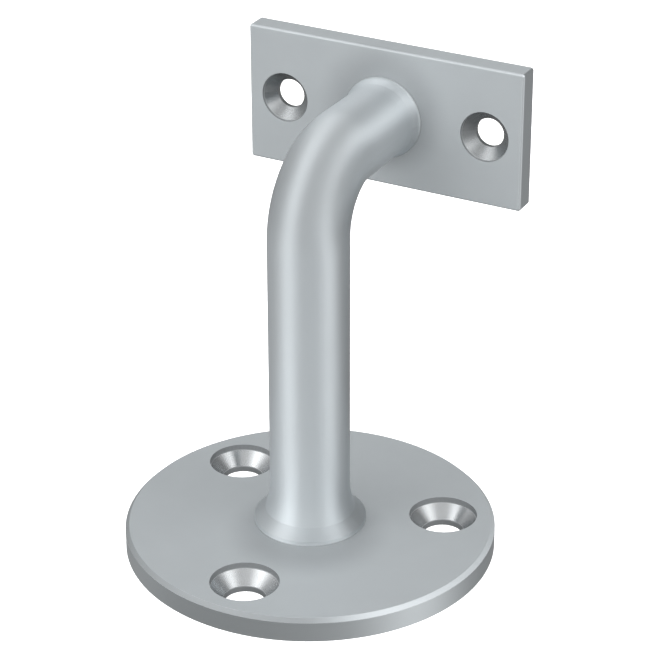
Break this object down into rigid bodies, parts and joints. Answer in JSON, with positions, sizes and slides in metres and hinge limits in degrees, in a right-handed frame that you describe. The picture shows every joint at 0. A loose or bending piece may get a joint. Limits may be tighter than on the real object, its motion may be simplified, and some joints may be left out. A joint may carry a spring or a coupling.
{
  "type": "handrail bracket",
  "caption": "Wall-mounted handrail bracket: round drilled foot, round arm that turns through a right angle, and a flat drilled plate that carries the rail.",
  "frame": {"origin": "centre of the foot's flat wall face", "axes": "+Z out from the wall along the arm, +Y through the rail plate towards the rail, +X along the rail plate"},
  "size_m": [0.0762, 0.0762, 0.0972],
  "materials": {
    "satin_metal": "fine satin, as cast and tumbled"
  },
  "bodies": {
    "root": {"handrail_bracket": "satin_metal"}
  },
  "joints": []
}
